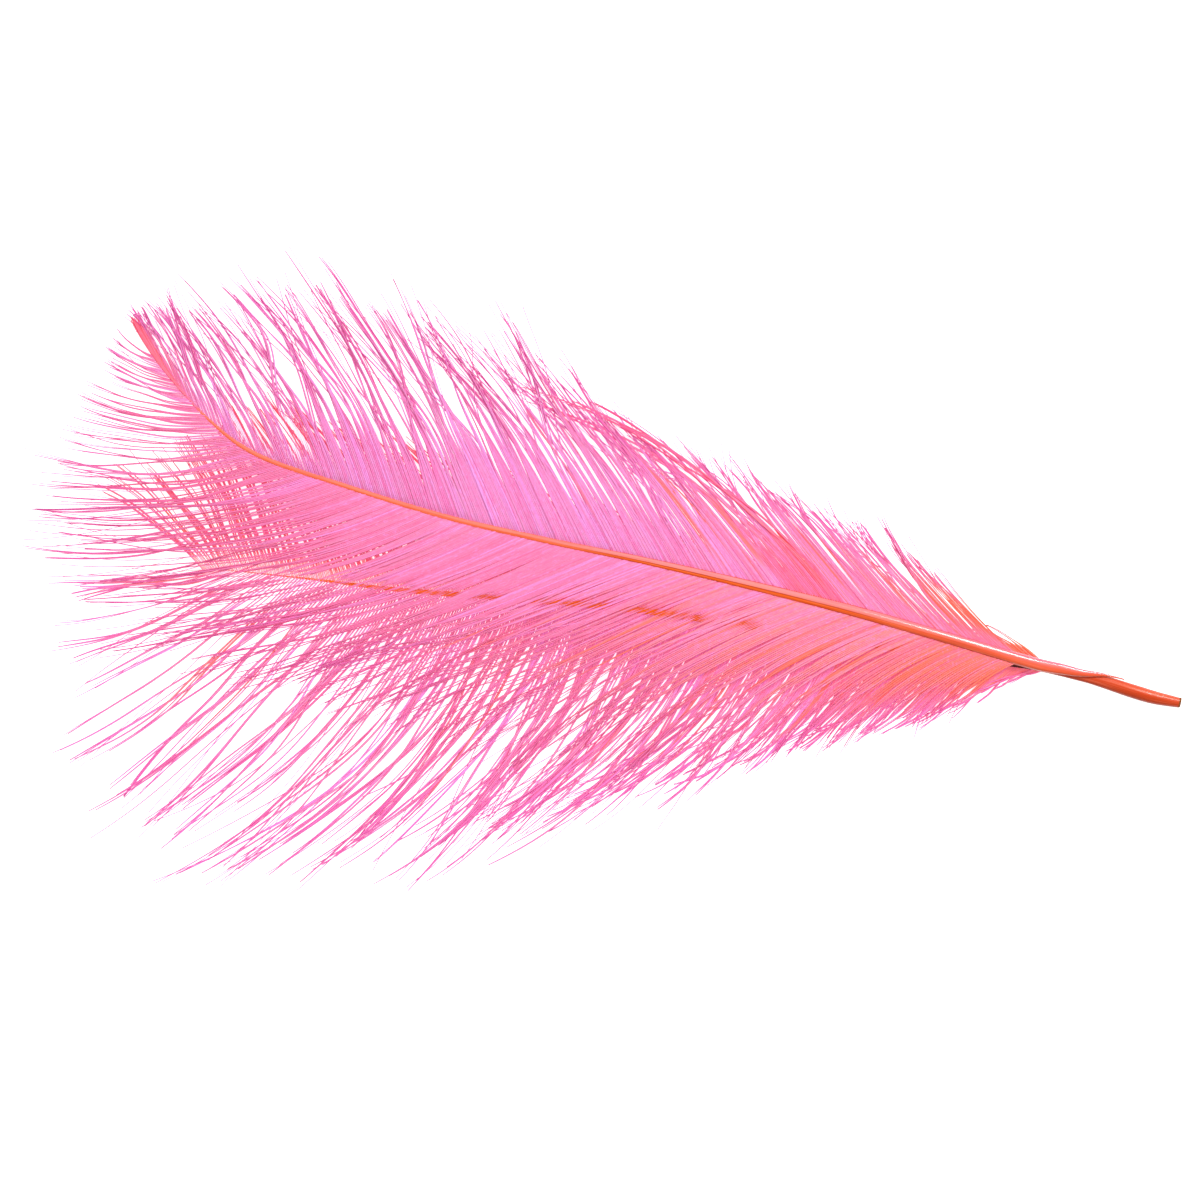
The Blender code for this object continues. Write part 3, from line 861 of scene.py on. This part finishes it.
# The upper feather's south vane: the sheet covers the under feather as far as its shaft, which shows
# as orange dashes where the barbs part over it, and the strands beyond cross the under feather's.
UPPER_SOUTH_BARBS = (
    (28, 24, 53),
    (52, 57, 52),
    (71, 84, 49),
    (89, 98, 44),
    (143, 107, 34),
    (173, 111, 30),
    (204, 108, 28),
    (235, 91, 26),
    (251, 77, 24),
    (263, 63, 26),
    (273, 47, 34),
    (289, 29, 31),
    (307, 12, 25),
)
UPPER_SOUTH_PARTING = (
    (28, 0.6), (52, 0.5), (89, 0.38), (143, 0.36), (173, 0.36), (204, 0.22), (235, 0.1), (260, 0.05),
    (307, 0.04),
)
UPPER_SOUTH_BOW = (
    (28, -0.08), (71, -0.06), (100, -0.04), (143, 0.0), (173, 0.03), (204, 0.06), (307, 0.05),
)
UPPER_SOUTH_CLOSED = ((31, 1.7), (215, 1.7), (250, 1.1), (305, 0.9))
UPPER_SOUTH_CROWD = ((31, 1.2), (150, 1.2), (230, 1.1), (270, 1.2), (305, 1.0))
OVER_UNDER_SHAFT = (-276.0, -118.0)  # between these x the barbs part over the under shaft
OVER_UNDER_SHAFT_FADE = 14.0
OVER_UNDER_SHAFT_HALF = 1.3


def over_under_shaft(plan):
    """Where the barbs part over the under feather's shaft."""
    x = plan[..., 0]
    order = under_shaft.samples[::-1]
    off = plan[..., 1] - np.interp(x, order[:, 0], order[:, 1])
    tip_end = soft_step((x - OVER_UNDER_SHAFT[0]) / OVER_UNDER_SHAFT_FADE)
    quill_end = soft_step((OVER_UNDER_SHAFT[1] - x) / OVER_UNDER_SHAFT_FADE)
    return tip_end * quill_end * np.exp(-((off / OVER_UNDER_SHAFT_HALF) ** 6))


upper_south = Vane(
    upper_shaft, -1, UPPER_SPAN, UPPER_SOUTH_BARBS, UPPER_SOUTH_PARTING, UPPER_SOUTH_BOW, upper_sheet
)
barb_piece(
    "upper_south_barbs",
    comb(
        upper_south, 380, 22, lean=0.022, ragged=0.12, stout=0.9, closed=UPPER_SOUTH_CLOSED,
        crowd=UPPER_SOUTH_CROWD, parted_at=over_under_shaft,
    ),
    barb_finish(
        "rose_barbs",
        sheet=dye(223, 122, 163),
        base=dye(233, 133, 141),
        ember=dye(238, 110, 76),
        strand=dye(228, 100, 152),
        bright=dye(232, 138, 204),
        deep_and_edge_shade=dye(204, 54, 96),
        tip=dye(216, 92, 170),
        flush=-0.05,
        outer_ember=0.3,
    ),
    "upper_feather",
)

# The brush at the tip of the plume: the last barbs, stuck together by the dye into a flat coral
# brush that carries on the line of the shaft.
BRUSH_HAIRS = 44
BRUSH_START = (278.0, 306.0)
rng = np.random.default_rng(31)
share = np.linspace(0, 1, BARB_ROWS)[None, :]
hair = np.arange(BRUSH_HAIRS)
root = np.sort(rng.uniform(*BRUSH_START, BRUSH_HAIRS))[:, None]
end = upper_shaft.length - 1.5 - np.abs(rng.normal(0, 3.5, BRUSH_HAIRS))[:, None]
s = root + (end - root) * share
lane = rng.uniform(-1, 1, BRUSH_HAIRS)[:, None]
rows = upper_shaft.row(s)
_, north = upper_shaft.directions(s)
spread = lane * (0.25 + 0.75 * soft_step((s - 290) / 25)) * rows[..., 2] / 2
spread = spread + share**3 * rng.normal(0, 0.35, BRUSH_HAIRS)[:, None]
plan = rows[..., :2] + north * spread[..., None]
z = rows[..., 4] + rng.normal(0, 0.18, BRUSH_HAIRS)[:, None]
centre = np.concatenate([plan, np.maximum(z, LOWEST_BARB)[..., None]], axis=-1)
width = 0.55 * (1 - 0.5 * share**5) + 0 * root
ones = np.ones(width.shape)
brush_dye = barb_finish(
    "coral_brush",
    sheet=dye(245, 104, 118),
    base=dye(245, 104, 118),
    ember=dye(240, 96, 80),
    strand=dye(242, 88, 104),
    bright=dye(246, 122, 158),
    deep_and_edge_shade=dye(196, 48, 84),
    tip=dye(242, 100, 130),
)
barb_piece(
    "upper_tip_brush",
    (
        centre,
        width,
        rng.normal(0, 0.3, BRUSH_HAIRS)[:, None],
        {
            "along": share + 0 * root,
            "station": 0.9 * ones,
            "loose": 0.5 * ones,
            "tone": rng.uniform(0, 1, BRUSH_HAIRS)[:, None] * ones,
            "fleck": rng.uniform(0, 1, BRUSH_HAIRS)[:, None] * ones,
            "blush": 0.5 * ones,
        },
    ),
    brush_dye,
    "upper_feather",
)

# The floor that the plume lies on, plain and near white.
FLOOR_SIZE = 6.0
bpy.ops.mesh.primitive_plane_add(size=FLOOR_SIZE, location=(0, 0, -0.0002))
floor = bpy.context.object
floor.name = "floor"
material, surface, start = new_finish("pale_floor")
surface.inputs["Base Color"].default_value = (0.86, 0.86, 0.86, 1)
surface.inputs["Roughness"].default_value = 0.9
surface.inputs["Emission Color"].default_value = (1.0, 1.0, 1.0, 1.0)
surface.inputs["Emission Strength"].default_value = 0.79
floor.data.materials.append(material)

# Soft light: an even pale surround and two large lamps, one to the north that glints on the shaft.
SURROUND = 0.61
world = bpy.data.worlds.new("pale_surround")
world.use_nodes = True
world.node_tree.nodes["Background"].inputs["Color"].default_value = (1.0, 1.0, 1.0, 1.0)
world.node_tree.nodes["Background"].inputs["Strength"].default_value = SURROUND
bpy.context.scene.world = world


def lamp(name, place, width, height, power):
    """A flat lamp that faces the plume."""
    light = bpy.data.lights.new(name, "AREA")
    light.shape = "RECTANGLE"
    light.size = width
    light.size_y = height
    light.energy = power
    lit = bpy.data.objects.new(name, light)
    bpy.context.scene.collection.objects.link(lit)
    lit.location = place
    away = np.array(place) / np.linalg.norm(place)
    lit.rotation_euler = (math.acos(away[2]), 0, math.atan2(away[1], away[0]) + math.pi / 2)


lamp("north_lamp", (0.37, 0.87, 1.07), 0.3, 0.6, 16.0)
lamp("wide_lamp", (-0.7, -0.4, 1.5), 1.2, 1.2, 3.5)
bpy.context.scene.view_settings.view_transform = "Standard"

# The camera looks straight down, turned so that the quill points to the lower right.
PICTURE_WIDTH = 0.3534
PICTURE_MIDDLE = (-170.96, -31.27, 0.0)
CAMERA_HEIGHT = 1.2
CAMERA_TURN = math.radians(20.42)
data = bpy.data.cameras.new("camera")
data.sensor_width = 36.0
data.lens = data.sensor_width * CAMERA_HEIGHT / PICTURE_WIDTH
camera = bpy.data.objects.new("camera", data)
bpy.context.scene.collection.objects.link(camera)
camera.location = placed(PICTURE_MIDDLE) + np.array([0, 0, CAMERA_HEIGHT])
camera.rotation_euler = (0, 0, CAMERA_TURN)
bpy.context.scene.camera = camera

bpy.context.view_layer.update()
